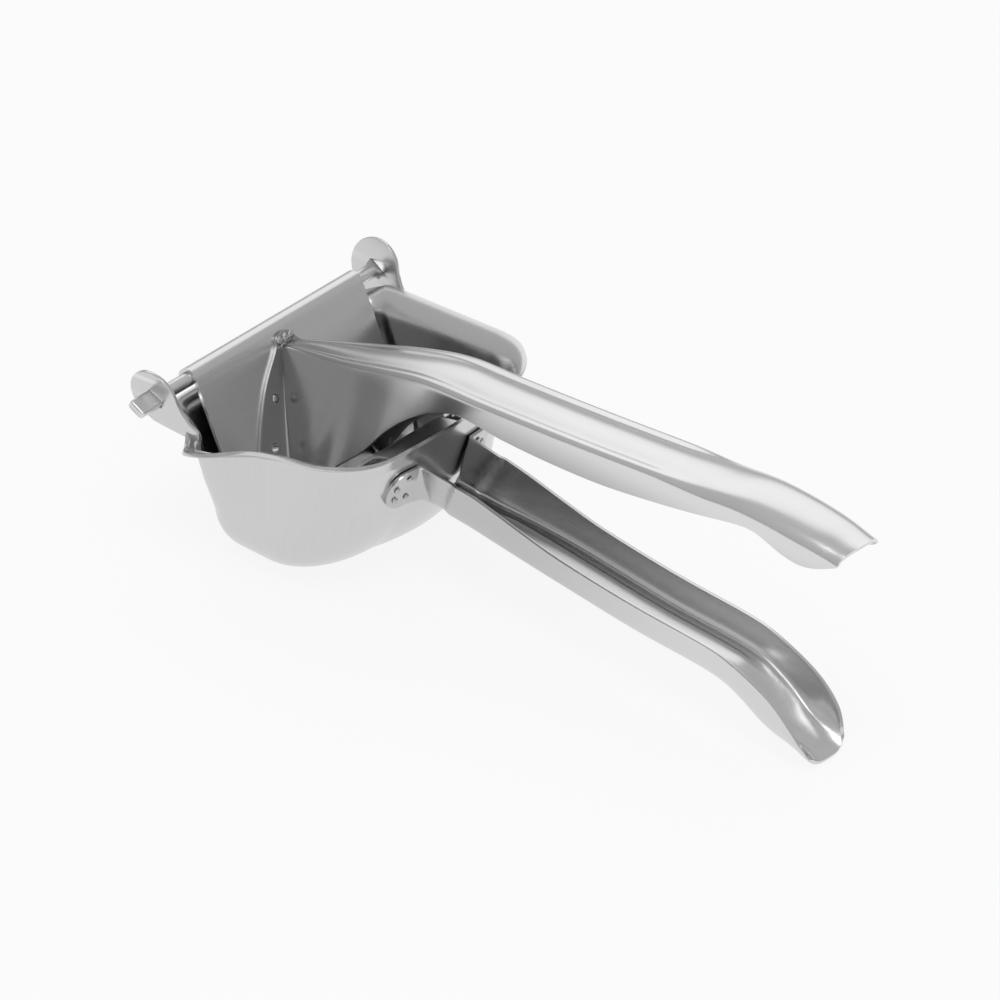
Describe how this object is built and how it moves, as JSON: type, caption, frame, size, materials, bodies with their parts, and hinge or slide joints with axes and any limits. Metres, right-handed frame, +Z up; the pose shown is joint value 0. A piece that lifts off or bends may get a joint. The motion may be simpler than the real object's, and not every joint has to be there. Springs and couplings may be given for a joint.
{
  "type": "manual juicer",
  "caption": "Hand-held lever press for citrus fruit in sheet steel: a bowl with a spout and a loose perforated strainer, and a hinged wedge presser, each with its own trough handle.",
  "frame": {"origin": "middle of the bowl's flat base, on the surface it stands on", "axes": "+X from the hinge towards the handles' free ends, +Y towards the side away from the spout, +Z up"},
  "size_m": [0.1985, 0.0973, 0.0679],
  "materials": {
    "steel": "polished stainless sheet with a soft sheen",
    "steel_dark": "satin stainless steel",
    "weld": "darker heat-tinted weld metal"
  },
  "bodies": {
    "base": {"bowl": "steel", "lower_handle": "steel", "handle_welds": "weld", "pivot_rod": "steel_dark", "strainer": "steel_dark"},
    "arm": {"press_plate": "steel", "upper_handle": "steel", "plate_welds": "weld"}
  },
  "joints": [
    {"name": "arm_hinge", "type": "hinge", "parent": "base", "child": "arm", "pos_m": [-0.03232, 0, 0.04204], "axis": [0, -1, 0], "range_deg": [0, 120]}
  ]
}
